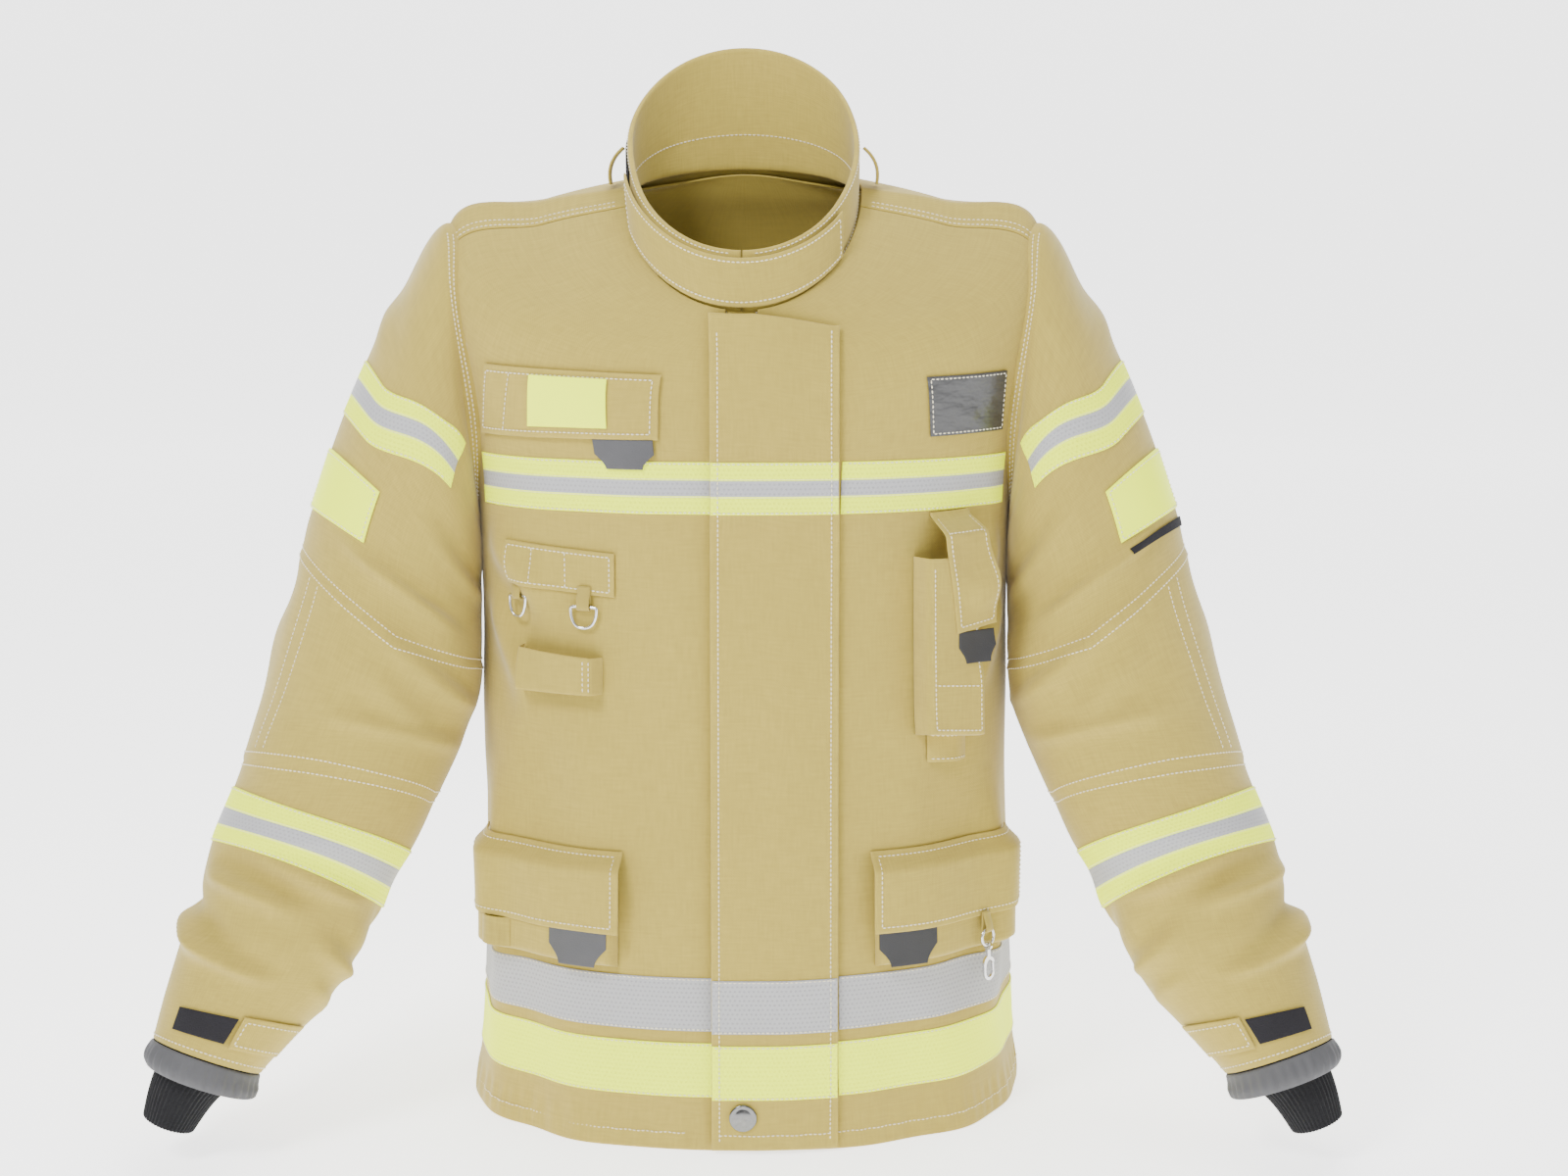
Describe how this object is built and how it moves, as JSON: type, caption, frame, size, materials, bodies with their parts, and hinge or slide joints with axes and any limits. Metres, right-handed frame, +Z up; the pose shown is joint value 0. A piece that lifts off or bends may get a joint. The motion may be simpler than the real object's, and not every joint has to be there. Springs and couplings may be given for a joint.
{
  "type": "turnout coat",
  "caption": "Firefighter's turnout coat standing on its hem, with sleeves, standing collar, zip under a storm flap, flapped pockets, reflective bands and rings.",
  "frame": {"origin": "centre of the bounding box foot, at the hem", "axes": "+X towards the wearer's left, -Y towards the coat's front, +Z up"},
  "size_m": [1.074, 0.3976, 0.9904],
  "materials": {
    "cloth": "matte weave",
    "liner": "matte",
    "yellow_tape": "fluorescent",
    "silver_tape": "retroreflective",
    "grey_tab": "matte",
    "dark_tab": "satin",
    "knit": "ribbed knit",
    "metal": "bright",
    "zip_tape": "woven",
    "webbing": "woven"
  },
  "bodies": {
    "coat": {"back_panel": "cloth", "body_liner": "liner", "chest_band_back": "yellow_tape", "chest_band_left": "yellow_tape", "chest_band_right": "yellow_tape", "collar": "cloth", "left_cuff_gaiter": "grey_tab", "left_front": "cloth", "left_lower_band": "yellow_tape", "left_pocket": "cloth", "left_pocket_loop": "webbing", "left_sleeve": "cloth", "left_sleeve_plate": "yellow_tape", "left_upper_band": "yellow_tape", "left_wristlet": "knit", "mic_loop": "cloth", "name_patch": "dark_tab", "radio_pocket": "cloth", "right_cuff_gaiter": "grey_tab", "right_front": "cloth", "right_lower_band": "yellow_tape", "right_pocket": "cloth", "right_pocket_loop": "webbing", "right_sleeve": "cloth", "right_sleeve_plate": "yellow_tape", "right_upper_band": "yellow_tape", "right_wristlet": "knit", "shoulder_loop_left": "webbing", "shoulder_loop_right": "webbing", "silver_band": "silver_tape", "snap_stud": "metal", "tool_strip": "webbing", "torch_loop": "cloth", "yellow_band": "yellow_tape", "zip_tape_left": "zip_tape", "zip_tape_right": "zip_tape"},
    "storm_flap": {"storm_flap": "cloth", "flap_chest_band": "yellow_tape", "flap_silver_band": "silver_tape", "flap_yellow_band": "yellow_tape", "snap_cap": "metal"},
    "id_flap": {"id_flap": "cloth", "id_plate": "yellow_tape", "id_tab": "grey_tab"},
    "radio_flap": {"radio_flap": "cloth", "radio_tab": "dark_tab"},
    "right_pocket_flap": {"right_pocket_flap": "cloth", "right_pocket_tab": "grey_tab"},
    "left_pocket_flap": {"left_pocket_flap": "cloth", "left_pocket_tab": "dark_tab"},
    "collar_tab": {"collar_tab": "cloth"},
    "right_cuff_strap": {"right_cuff_strap": "cloth"},
    "left_cuff_strap": {"left_cuff_strap": "cloth"},
    "d_ring_outer": {"d_ring_outer": "metal"},
    "d_ring_inner": {"d_ring_inner": "metal"},
    "hook_ring": {"hook_ring": "metal"},
    "hook_body": {"hook_body": "metal"},
    "hook_gate": {"hook_gate": "metal"},
    "zip_slider": {"zip_slider": "metal", "zip_pull": "metal"}
  },
  "joints": [
    {"name": "storm_flap_hinge", "type": "hinge", "parent": "coat", "child": "storm_flap", "pos_m": [0.086, -0.1432, 0.0108], "axis": [0, 0.078, 0.997], "range_deg": [0, 90]},
    {"name": "id_flap_hinge", "type": "hinge", "parent": "coat", "child": "id_flap", "pos_m": [-0.163, -0.0768, 0.706], "axis": [-0.9642, 0.2651, 0], "range_deg": [0, 80]},
    {"name": "radio_flap_hinge", "type": "hinge", "parent": "coat", "child": "radio_flap", "pos_m": [0.1881, -0.0656, 0.5775], "axis": [-0.8729, -0.4879, 0], "range_deg": [0, 85]},
    {"name": "right_pocket_flap_hinge", "type": "hinge", "parent": "coat", "child": "right_pocket_flap", "pos_m": [-0.1951, -0.0802, 0.275], "axis": [-0.8135, 0.5816, 0], "range_deg": [0, 55]},
    {"name": "left_pocket_flap_hinge", "type": "hinge", "parent": "coat", "child": "left_pocket_flap", "pos_m": [0.1978, -0.0782, 0.275], "axis": [-0.8073, -0.5902, 0], "range_deg": [0, 60]},
    {"name": "collar_tab_hinge", "type": "hinge", "parent": "coat", "child": "collar_tab", "pos_m": [0.089, -0.0338, 0.82], "axis": [0.01, 0.12, 0.9927], "range_deg": [0, 75]},
    {"name": "right_cuff_strap_hinge", "type": "hinge", "parent": "coat", "child": "right_cuff_strap", "pos_m": [-0.40711, -0.14616, 0.10587], "axis": [0.6745, 0.2559, 0.6925], "range_deg": [0, 60]},
    {"name": "left_cuff_strap_hinge", "type": "hinge", "parent": "coat", "child": "left_cuff_strap", "pos_m": [0.40711, -0.14616, 0.10587], "axis": [0.6745, -0.2559, -0.6925], "range_deg": [0, 60]},
    {"name": "d_ring_outer_pivot", "type": "hinge", "parent": "coat", "child": "d_ring_outer", "pos_m": [-0.20385, -0.06056, 0.49788], "axis": [-0.8047, 0.5937, 0], "range_deg": [0, 30]},
    {"name": "d_ring_inner_pivot", "type": "hinge", "parent": "coat", "child": "d_ring_inner", "pos_m": [-0.14155, -0.09175, 0.49301], "axis": [-0.9527, 0.3039, 0], "range_deg": [0, 60]},
    {"name": "hook_ring_pivot", "type": "hinge", "parent": "coat", "child": "hook_ring", "pos_m": [0.2245, -0.08065, 0.18914], "axis": [-0.718, -0.696, 0], "range_deg": [0, 45]},
    {"name": "hook_pivot", "type": "hinge", "parent": "hook_ring", "child": "hook_body", "pos_m": [0.22504, -0.08121, 0.17315], "axis": [-0.718, -0.696, 0], "range_deg": [0, 60]},
    {"name": "hook_gate_pivot", "type": "hinge", "parent": "hook_body", "child": "hook_gate", "pos_m": [0.23001, -0.07814, 0.14749], "axis": [0.6957, -0.7167, 0.049], "range_deg": [0, 20], "stiffness_Nm_per_rad": 0.01},
    {"name": "zip_slide", "type": "slide", "parent": "coat", "child": "zip_slider", "axis": [0, -0.0797, -0.9968], "range_m": [0, 0.64]}
  ]
}
